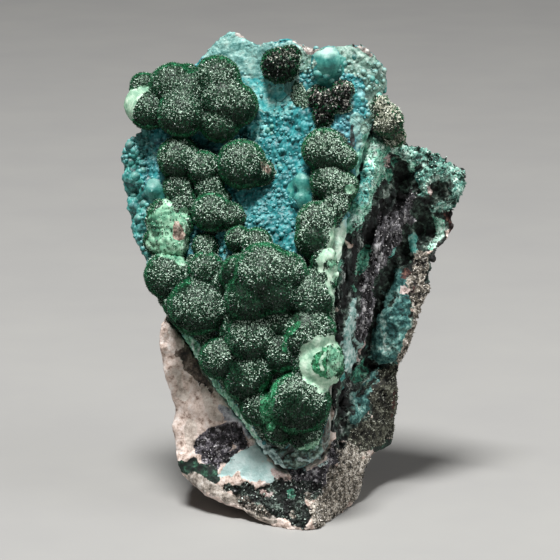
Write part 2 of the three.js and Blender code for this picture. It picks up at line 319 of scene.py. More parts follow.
def add(tree, kind, inputs=None, output=0, stops=(), **settings):
    """Adds one node with its settings and links, and gives back one of its outputs.

    Stops are the positions and sRGB colours of a colour ramp.
    """
    node = tree.nodes.new("ShaderNode" + kind)
    for name, value in settings.items():
        setattr(node, name, value)
    for name, value in (inputs or {}).items():
        if isinstance(value, bpy.types.NodeSocket):
            tree.links.new(value, node.inputs[name])
        else:
            node.inputs[name].default_value = value
    if stops:
        elements = node.color_ramp.elements
        elements[0].position, elements[1].position = stops[0][0], stops[-1][0]
        elements[0].color, elements[1].color = linear(stops[0][1]), linear(stops[-1][1])
        for position, code in stops[1:-1]:
            elements.new(position).color = linear(code)
    return node.outputs[output] if node.outputs else None


def lumps(place, size, detail=3.0, roughness=0.6):
    """The inputs of a noise whose lumps are a real size in mm."""
    return {"Vector": place, "Scale": 1 / (size * MM), "Detail": detail, "Roughness": roughness}


def start_material(name):
    material = bpy.data.materials.new(name)
    material.use_nodes = True
    tree = material.node_tree
    tree.nodes.clear()
    return material, tree, add(tree, "TexCoord", output="Object")


def finish_material(tree, **inputs):
    """Closes a material with its surface, whose inputs are named with _ for a space."""
    surface = {name.replace("_", " "): value for name, value in inputs.items()}
    add(tree, "OutputMaterial", {"Surface": add(tree, "BsdfPrincipled", surface)})


def sharpened(tree, zone, grain):
    """A zone's share with its soft border broken up by a fine grain."""
    share = add(tree, "Attribute", output="Fac", attribute_name=zone)
    # The zone is whole where 1.6 times the grain and the share come to 1.4.
    ragged = add(tree, "Math", {0: grain, 1: 1.6, 2: share}, operation="MULTIPLY_ADD")
    return add(tree, "MapRange", {"Value": ragged, "From Min": 1.2, "From Max": 1.4})


def laid_over(tree, colour, name, code, blend="MIX"):
    """A colour laid over another by a mark of the piece."""
    share = add(tree, "Attribute", output="Fac", attribute_name=name)
    inputs = {"Fac": share, "Color1": colour, "Color2": linear(code)}
    return add(tree, "MixRGB", inputs, blend_type=blend)


def banded(tree, place, ground, zones):
    """A ground colour with mineral zones laid over it, each with its own grain size and colours.

    The four colours of a zone are its dark specks, its low and its high tone, and its pale flecks.
    A zone with a lean, in radians from upright, has grains drawn out along it instead of round ones.
    """
    border = add(tree, "TexNoise", lumps(place, 0.8))
    colour = None
    for zone, size, colours, *lean in (("", *ground), *zones):
        where = place
        if lean:
            drawn = {"Vector": place, "Rotation": (0, -lean[0], 0), "Scale": (1, 1, 0.28)}
            where = add(tree, "Mapping", drawn)
        grain = add(tree, "TexNoise", lumps(where, size, 5.0, 0.7))
        # Most of such a noise lies between 0.37 and 0.65.
        stops = list(zip((0.37, 0.46, 0.55, 0.65), colours))
        tone = add(tree, "ValToRGB", {"Fac": grain}, stops=stops)
        if zone:
            share = sharpened(tree, zone, border)
            tone = add(tree, "MixRGB", {"Fac": share, "Color1": colour, "Color2": tone})
        colour = tone
    clouds = add(tree, "TexNoise", lumps(place, 3.6, 2.0))
    shade = add(tree, "ValToRGB", {"Fac": clouds}, stops=((0.38, "#8f8f8f"), (0.6, "#ffffff")))
    inputs = {"Fac": 0.25, "Color1": colour, "Color2": shade}
    return add(tree, "MixRGB", inputs, blend_type="MULTIPLY")


def crystal_coat(name, dark, middle, light, share):
    """Malachite in needles under half a millimetre long: deep green where light sinks in between
    them, and grey-green where it comes back from a face. The rock's sugary grains look alike in
    their own colours. Share is how many of the crystals shine."""
    material, tree, place = start_material(name)
    speckle = add(tree, "TexNoise", lumps(place, 0.22, 1.0))
    faces = add(tree, "Math", {0: speckle, 1: 1.5, 2: 0.3}, operation="MULTIPLY_ADD")
    tint = add(tree, "Attribute", output="Fac", attribute_name="tint")
    tint = add(tree, "Math", {0: tint, 1: faces}, operation="MULTIPLY")
    # The lowest tints, given to crystals on the balls' edges, make the green of a painted sheen.
    tone = add(tree, "ValToRGB", {"Fac": tint}, stops=(
        (0.09, "#0c5430"), (0.13, dark), (0.72 - share, dark), (0.95 - share, middle),
        (1.15 - share, light),
    ))
    finish_material(tree, Base_Color=tone, Roughness=0.4, IOR=1.66, Specular_IOR_Level=0.3)
    return material


# A zone is its name, the size of its grain in mm, its four colours, and a lean where it has one.
MALACHITE_ZONES = (
    # Partly the bright green of some ball edges, partly a painted green sheen where a ball turns away
    # from the face.
    ("rim", 0.9, ("#0a4a29", "#17693f", "#359161", "#6fbd95")),
    ("green_rind", 2.6, ("#356f54", "#629b7c", "#8abb9b", "#b4d6bd")),
    ("white_rind", 1.8, ("#7ba68c", "#98bfa3", "#b6d3bb", "#c9dec9")),
    ("stain", 1.0, ("#38261f", "#786257", "#ab9688", "#d9cabd")),
)


def malachite_base():
    """Massive malachite under the crystals: deep green, with paler rinds where a ball was
    chipped open across its fibres."""
    material, tree, place = start_material("malachite_velvet")
    ground = (0.5, ("#000d04", "#00200c", "#04351a", "#0f4f2a"))
    grain = add(tree, "TexNoise", lumps(place, 0.5, 4.0))
    finish_material(
        tree,
        Base_Color=banded(tree, place, ground, MALACHITE_ZONES),
        Normal=add(tree, "Bump", {"Height": grain, "Strength": 0.5, "Distance": 0.2 * MM}),
        Roughness=0.6,
        IOR=1.66,
        Specular_IOR_Level=0.3,
        Sheen_Weight=0.2,
        Sheen_Roughness=0.35,
        Sheen_Tint=linear("#0c8040"),
    )
    return material


CHRYSOCOLLA_ZONES = (
    ("upper", 1.8, ("#3d7671", "#61958f", "#80aca4", "#9dbfb6")),
    ("margin", 1.6, ("#084b49", "#176b67", "#2f8980", "#58a498")),
    ("sugar", 1.6, ("#33554a", "#5f8475", "#8aa99b", "#b6cabf")),
    ("mint", 1.8, ("#226650", "#5aa38a", "#93cbb3", "#cbe7d8")),
    ("teal", 1.6, ("#0d464f", "#1c636e", "#378590", "#6cb0b4")),
    ("bubble", 2.4, ("#18655f", "#297b73", "#449388", "#69aca0")),
    # Painted light: brighter teal where the balls above cast shadow on the crust.
    ("bright", 1.5, ("#2b9ca0", "#55b8b8", "#86d2ce", "#bce8e2")),
    ("pale", 1.6, ("#8bb69c", "#b0d5bb", "#cde6d2", "#dcefdc")),
    ("fibre", 0.9, ("#134e31", "#53a277", "#a4d5b7", "#f4fbf5"), -0.64),
    ("velvet", 0.45, ("#000d04", "#00200c", "#083a1c", "#2a6a46")),
    ("tip", 2.4, ("#0a0c08", "#2a3329", "#5f7566", "#b9d2c6")),
    # Partly the pale glaze of the rock beneath, partly painted light on the crust's edge where it lies
    # in shade.
    ("film", 3.0, ("#a3c0bc", "#bdd6d1", "#cfe2de", "#e0edea")),
    ("strand", 1.4, ("#1c1714", "#5a524b", "#93968d", "#cbd8cd"), 0.1),
    ("fissure", 0.8, ("#040808", "#0a1213", "#162120", "#2f3b38")),
    ("matrix", 2.0, ("#3d4a40", "#7b7f72", "#a9a092", "#c9c0b4")),
    ("feldspar", 1.2, ("#483d3a", "#7d706b", "#a3978f", "#cfc6bf")),
)


def chrysocolla():
    """Chrysocolla: turquoise beads with a waxy skin, finely cracked where it dried. It is darkened to
    deep teal where it lies low as painted shade, and pale on top, partly dusty, partly painted light."""
    material, tree, place = start_material("chrysocolla_crust")
    ground = (1.5, ("#04565b", "#0d6e72", "#1b8387", "#3c9d9e"))
    colour = banded(tree, place, ground, CHRYSOCOLLA_ZONES)
    plates = {"Vector": place, "Scale": 1 / (4.5 * MM)}
    cracks = add(tree, "TexVoronoi", plates, feature="DISTANCE_TO_EDGE")
    cracked = add(tree, "ValToRGB", {"Fac": cracks}, stops=((0.0, "#55787a"), (0.03, "#ffffff")))
    dried = add(tree, "TexNoise", lumps(place, 7.0, 2.0))
    dried = add(tree, "MapRange", {"Value": dried, "From Min": 0.5, "From Max": 0.6})
    upper = add(tree, "Attribute", output="Fac", attribute_name="upper")
    dried = add(tree, "Math", {0: dried, 1: upper}, operation="MULTIPLY")
    inputs = {"Fac": dried, "Color1": colour, "Color2": cracked}
    colour = add(tree, "MixRGB", inputs, blend_type="MULTIPLY")
    # Painted shade darkens the low places; raised tops and some spots in shade are paler, partly
    # dusting and partly painted light; the bubbles' tops carry dusting and a painted highlight.
    colour = laid_over(tree, colour, "crease", "#2a6f74", "MULTIPLY")
    colour = laid_over(tree, colour, "top", "#90c8c8")
    colour = laid_over(tree, colour, "dust", "#b5cfc4")
    grain = add(tree, "TexNoise", lumps(place, 0.35, 4.0))
    finish_material(
        tree,
        Base_Color=colour,
        Normal=add(tree, "Bump", {"Height": grain, "Strength": 0.6, "Distance": 0.15 * MM}),
        Roughness=0.5,
        IOR=1.5,
        Coat_Weight=0.05,
        Coat_Roughness=0.3,
    )
    return material


HOST_ZONES = (
    ("film", 2.4, ("#1d3b30", "#446656", "#75907e", "#a9b5a4")),
    ("iron", 2.4, ("#3a251a", "#6b4c38", "#937560", "#b59c88")),
    ("ore", 2.0, ("#020504", "#0f1c17", "#3d554a", "#a5b5aa")),
    # A brown stain beside the crust's edge, darkened also as painted shadow of the crust.
    ("brown", 1.6, ("#171210", "#3a322b", "#66574d", "#978a7e")),
    ("cream", 1.6, ("#a3958a", "#c5b6aa", "#dacdc2", "#eae2d9")),
    ("violet", 1.6, ("#636269", "#909097", "#b6b6bc", "#d8d8dc")),
    ("mottle", 1.6, ("#100e12", "#353138", "#77727a", "#cfcccd")),
    ("leaf", 1.4, ("#010704", "#031710", "#0c2f20", "#3c6d56")),
    ("ridge", 2.0, ("#2f7f64", "#7cc7ab", "#bceed8", "#ecfbf2")),
    ("teal", 1.6, ("#176a66", "#409c94", "#78c2b5", "#bce2d8")),
    ("wing", 2.2, ("#0a2622", "#427f71", "#94c3b3", "#e0f0e6")),
    # Partly the pocket's own teal and grey-green, partly painted shade from the band that overhangs
    # it.
    ("pocket", 2.6, ("#032220", "#1c5553", "#689b93", "#cce3da")),
    ("chalk", 1.2, ("#4d7a74", "#86afa8", "#b3cfc9", "#dbe6e1")),
    ("glaze", 3.0, ("#9cbebb", "#adcac7", "#bad2cf", "#c9dbd9")),
    ("foot", 3.0, ("#010201", "#050d09", "#1c2b23", "#85978c")),
    ("gravel", 1.6, ("#090a06", "#26261d", "#535345", "#949787")),
    ("grit", 1.6, ("#352f29", "#7d746a", "#a89e94", "#d0c9c0")),
    ("sugar", 1.6, ("#14110d", "#60594d", "#aaa194", "#e8e1d8")),
    ("oxide", 2.0, ("#010202", "#070d0c", "#2c3935", "#cbd6cf"), 0.3),
    ("sparkle", 1.6, ("#060608", "#252326", "#656368", "#d2d0d1"), 0.3),
    ("vein", 1.6, ("#0d4a3c", "#2a7a63", "#5aa589", "#a9cdb9")),
    ("rust", 1.2, ("#140908", "#351916", "#5c382f", "#96705f")),
    ("feldspar", 1.4, ("#7a625c", "#b09b94", "#cdbbb6", "#e6dcd8")),
    # Painted shade: near black in the rock's deep clefts and pits, which are also sunk.
    ("hollow", 1.6, ("#0a120e", "#212f28", "#42584c", "#7b9686")),
)


def host_rock():
    """Altered rhyolite: pinkish tan and pitted, with iron and copper stains, oxide and green films
    where it carries the ore."""
    material, tree, place = start_material("rhyolite_host")
    ground = (1.4, ("#877165", "#cfbaad", "#e6d4ca", "#f1e7e0"))
    colour = banded(tree, place, ground, HOST_ZONES)
    grain = add(tree, "TexNoise", lumps(place, 0.5, 5.0))
    glaze = add(tree, "Attribute", output="Fac", attribute_name="glaze")
    finish_material(
        tree,
        # Painted shade: darker where the rock lies below its surroundings.
        Base_Color=laid_over(tree, colour, "crease", "#4a423c", "MULTIPLY"),
        Normal=add(tree, "Bump", {"Height": grain, "Strength": 0.7, "Distance": 0.25 * MM}),
        Roughness=add(tree, "MapRange", {"Value": glaze, "To Min": 0.75, "To Max": 0.35}),
        IOR=1.5,
    )
    return material


# ------------------------------ where each mineral lies

# Each shape is a line of stops: x and y on the face and the half width there, in millimetres.
# The face's y starts at the foot.
WHITE_RIND = [
    [(9.8, 32.6, 1.1), (7.6, 33.4, 1), (5.2, 32.8, 1.3), (3, 31.2, 1.5), (2.3, 28.6, 1.3),
     (3, 26.2, 1.2), (5, 25, 1.1), (7, 24.8, 0.8)],
    [(8.4, 25.2, 0.8), (6.6, 24.2, 1), (5.2, 23.4, 0.6)],
    [(6.4, 30.6, 0.35), (5.4, 29.2, 0.3), (5.8, 27.6, 0.4)],
    [(10.4, 56, 1.1), (9.5, 53.7, 2.3), (8.9, 51.4, 2)],
    [(9, 49.6, 0.9), (6.6, 49.9, 1), (5.3, 48.6, 0.8), (5.6, 46.8, 0.5)],
    [(9, 47.2, 0.8), (7.8, 45.6, 1.1), (6.8, 46.8, 0.5)],
    [(6.7, 44.5, 0.5), (8, 42.2, 0.7), (8.4, 40.2, 0.4)],
]
GREEN_RIND = [
    [(-25, 60.5, 1.6), (-25.2, 56.5, 3.4), (-26.2, 52.5, 2.8)],
    [(-21.6, 58.4, 1.2), (-23, 53.6, 3), (-22, 50.4, 1.8)],
    [(8.4, 48.4, 1.6), (9, 46, 1.4)],
    [(7.8, 31.6, 1.2), (8.8, 29.2, 2), (7.8, 26.6, 1.6)],
    [(-5.6, 13.6, 0.4), (-2, 11.8, 0.5), (2, 11.2, 0.6), (5.8, 12.6, 1), (7.2, 15, 0.5)],
    [(11.4, 62.6, 0.7)], [(10.8, 57, 1.6)],
    [(-30.6, 82.8, 0.6), (-29, 83.4, 0.5)],
]
CRESCENT = [[(-29.4, 82.9, 0.7), (-31.8, 81.6, 1.5), (-32.8, 79.4, 1.4), (-32.4, 76.8, 0.7)]]
BRIGHT_RIM = [
    [(-0.4, 27.6, 0.6), (-2.9, 26.6, 1), (-4.2, 24, 1.4), (-4.6, 20, 1.3), (-4.4, 16.6, 1)],
    [(1.2, 36.4, 0.4), (-1, 34.4, 0.55), (-1.6, 31.4, 0.5)],
    [(6.2, 31.4, 0.8), (5, 29.4, 1.4), (5.4, 27.2, 1.3), (6.4, 26, 0.7)],
]
# Where the pale frost is thinned as painted shade, and where it lies thick.
FROST_SHADE = [
    [(-12.6, 44.6, 2), (-8, 41.4, 2.2), (-3, 43, 2.6)],
    [(0.2, 20.8, 2.2), (1.4, 17.8, 3.2), (0.2, 14.8, 2.2)],
    [(3.6, 53.6, 2), (4.8, 52, 1.6)], [(1.6, 67.4, 0.8), (4.6, 65.6, 1)],
    [(6.8, 28.8, 2.2), (7, 26.6, 1.4)], [(-13.2, 48.4, 1.2), (-13.4, 45.4, 1.4)],
    [(-11.5, 27.2, 1.6)], [(-14, 36, 1.4)], [(20.8, 74.2, 1.6)], [(0.8, 37.8, 1.2)],
    [(-21.6, 43.2, 1.6)],
]
THICK = [
    [(-13.8, 79.4, 1.6)], [(5.8, 14.4, 1.6)], [(-4, 14.8, 1)], [(-12.6, 31.4, 1.8)],
    [(0.8, 31.6, 1.4)], [(10.6, 64.4, 1.2)], [(10.4, 59.4, 1.4)],
    [(0.2, 25, 0.8), (2.2, 23.8, 0.8), (4.6, 22.6, 1.2)],
    [(-7.4, 17.6, 1.2)], [(-3, 17.4, 1)], [(-1.6, 25.6, 1.4)], [(-3.4, 27.6, 1.6)],
    [(8.6, 64.4, 1.4)], [(4, 58, 1.6)], [(-22, 58, 1.4)], [(-22.4, 77.4, 1.4)],
    [(2.4, 34.4, 1.6)], [(-16.4, 27, 1)],
]
STAIN = [[(-22.9, 55.8, 0.8), (-22.3, 53.8, 1.1)], [(-5.6, 67.9, 0.8), (-5, 66.6, 0.9)]]
CRUST_ZONES = {
    "upper": [
        [(-13, 93, 5), (-5, 88, 6), (-5, 82, 4)],
        [(0, 91, 2.6)], [(13, 76, 1.5), (12.6, 70, 0.8)],
    ],
    "margin": [[(-30.5, 74, 2), (-32.5, 66, 3), (-31, 58, 2.5), (-29, 50, 2), (-26, 44, 1.5)]],
    "sugar": [
        [(2.6, 88.6, 2), (6, 91, 2), (14, 89, 3.6), (19, 84, 4.4), (17, 79, 3)],
        [(17, 77, 2.6), (16, 73, 2)],
    ],
    "mint": [
        [(16, 72, 2.4), (15, 68, 2), (14.2, 62, 1.6), (13, 57, 1.6), (10.2, 51.6, 1.6),
         (8.4, 46.4, 2.2), (8.6, 41, 1.2), (8.8, 35, 0.9), (9, 31, 0.8)],
    ],
    "teal": [
        [(-26, 70.5, 2.4), (-20, 70.5, 2), (-16, 70, 1.6)],
        [(-19, 50, 2.4), (-15, 47, 2.4), (-11, 47, 1.4)],
        [(14, 65, 1.2), (13.8, 61.7, 1.6), (12.4, 58.4, 1.4)],
        [(8, 78, 1.2), (10.6, 74, 1.6), (11.4, 71, 1)],
    ],
    "bubble": [
        [(6.9, 88, 3.2)], [(6.2, 85.2, 1.7)], [(2.3, 64.1, 2.3)], [(1.8, 60.6, 1.9)],
        [(-27.6, 64.2, 1.3), (-27.4, 62.2, 1.7)],
    ],
    "pale": WHITE_RIND + [
        [(16.5, 71.9, 0.7), (16.9, 69.5, 0.8)],
        [(-9.8, 83.6, 0.5), (-9.2, 82.8, 0.4)],
    ],
    "fibre": [
        [(-25.4, 38.5, 1.4), (-20.2, 31.5, 1.5), (-16, 25.3, 1.6), (-10.2, 17.3, 1.5), (-3, 9, 0.9)],
    ],
    "velvet": [
        [(-24, 43, 6), (-12, 40, 8.5), (4, 42, 7)],
        [(-16, 31, 4.6), (5, 33, 8)],
        [(-9, 22, 4.6), (4, 24, 6)],
        [(-4, 15, 3.6), (3, 16, 5)],
        [(-18.8, 32.6, 1.2), (-14.4, 26.4, 1.6), (-8.8, 18.4, 1.6), (-3, 12.4, 1.6), (2, 12, 1.4)],
        [(5, 50, 4), (8, 64, 3.4), (7, 72, 3)],
        [(1.4, 83.4, 1.2), (2.4, 80.4, 1.6), (4.8, 82.8, 1.3)],
    ],
    # Painted light: brighter teal where the balls above cast shadow on the crust.
    "bright": [
        [(-30.6, 72.8, 1.8), (-27.6, 71, 1.5)],
        [(-9.4, 83.6, 1.6), (-4.2, 82, 3.2), (-2.4, 79.6, 2)],
        [(-7, 75, 1.8)],
    ],
    "tip": [[(-4.4, 11.4, 1), (-1.4, 9.4, 2.6), (2.4, 9.6, 3.4), (6.8, 10.6, 2.8), (8.2, 14, 1.2)]],
    # Partly the pale glaze of the rock beneath, partly painted light on the crust's edge where it lies
    # in shade.
    "film": [
        [(-7.6, 13, 0.5), (-5.4, 10.8, 1.6), (-4, 9, 1.9), (-2.2, 7.4, 1.3)],
        [(1.2, 9.6, 0.5), (3.4, 9.2, 0.7), (5.6, 9.6, 0.7), (7.6, 10.4, 0.5)],
    ],
    "strand": [[(9.6, 30, 0.6), (8.8, 26, 0.9), (7.8, 21, 1.3), (7.8, 14, 1.4), (8.2, 10.8, 1)]],
    "fissure": [[(11.8, 75.2, 0.15), (11.6, 71.2, 0.4)], [(7.8, 81, 0.8), (4.4, 81.5, 0.6)]],
    "feldspar": [
        [(0.8, 93, 0.8), (4.4, 91, 1.2)],
        [(-28.6, 65.6, 0.2), (-27.6, 64.6, 0.3)],
        [(-11, 94.4, 0.5), (-8.4, 93.4, 0.5), (-6.4, 92, 0.5)],
        [(9.8, 92.2, 0.4), (13, 91.2, 0.6), (15.8, 89.4, 0.4)],
    ],
}
# Spots where the crust is made pale: partly dusting, partly painted light where it lies in shade.
PALE_SPOTS_AND_PAINTED_LIGHT = [
    [(16.4, 71.6, 1)], [(11, 81.6, 1.2)], [(12.2, 62.2, 1.4)], [(11.6, 56.4, 1.6)], [(14, 82, 1.6)],
]
# Swells that fill out the clusters of balls and the rock's ridge: x, y, radius and stand-off.
LOBES = {
    "host_rock": [
        (15.4, 71, 2.8, 1.3), (17.8, 71.4, 2.2, 0.8), (14.9, 67, 2.8, 1.2), (17.2, 67.4, 2, 0.6),
        (14.2, 63.2, 2.8, 1.1), (16.6, 63.4, 1.9, 0.5), (13.2, 59.4, 2.7, 1), (15.6, 59.8, 1.7, 0.4),
        (12.2, 55.6, 2.5, 0.9), (11.2, 52.4, 1.9, 0.9), (20, 71.6, 1.7, 0.4), (24, 68.6, 1.6, 0.2),
        (29.4, 66.6, 2.2, -0.2), (32.6, 63.4, 1.8, -0.2),
    ],
    "malachite_main_mass": [
        (-3.2, 42.6, 4.1, 0.9), (-18.9, 39.6, 5.4, 0.35), (-5.6, 46, 5.6, 0.8), (-7.6, 34, 5.2, 0),
        (-8.4, 26.2, 4.1, 0.15), (3.2, 34.4, 4.9, 0.1), (-6.4, 20, 3.6, 0.15), (5, 28.8, 5, 0.05),
        (-14.1, 29.6, 4, 0.3), (6.2, 49, 2.5, 0.55),
    ],
    "malachite_left_column": [(-23.6, 52, 3.2, 0.25), (-22.4, 55.6, 2.6, 0.4)],
    "malachite_upper_left": [(-13.6, 80.8, 4.6, 0.65), (-20.2, 82.4, 4, 0.75)],
}
# Lone beads: x and y on the face and the radius, in millimetres.
STUDS = [
    (10.3, 87.6, 0.7), (9.2, 86.2, 0.5), (12.3, 88.9, 0.6), (15.5, 84.6, 0.9), (16.6, 84, 0.6),
    (18.2, 87.3, 0.9), (18.9, 83.7, 0.8), (18.2, 82.5, 0.6), (17, 81.3, 0.9), (13.8, 80.6, 0.5),
    (5.2, 85.6, 1.1), (6.7, 85.1, 0.9), (7.7, 84.3, 0.7), (4.3, 84.7, 0.7), (-2.2, 82.9, 0.5),
    (-4.8, 74.7, 0.8), (-3.9, 75.4, 0.6), (-4, 73.9, 0.6), (-10.4, 83.6, 0.6), (-2.4, 67.4, 0.7),
    (-32.6, 71.9, 1), (-32.4, 68.6, 1), (-30.6, 69.6, 0.8), (-31.4, 65.6, 1), (-29.8, 66.8, 0.8),
    (-31.6, 61.8, 0.9), (-29.6, 60.2, 0.8), (-30.6, 57.2, 1),
]
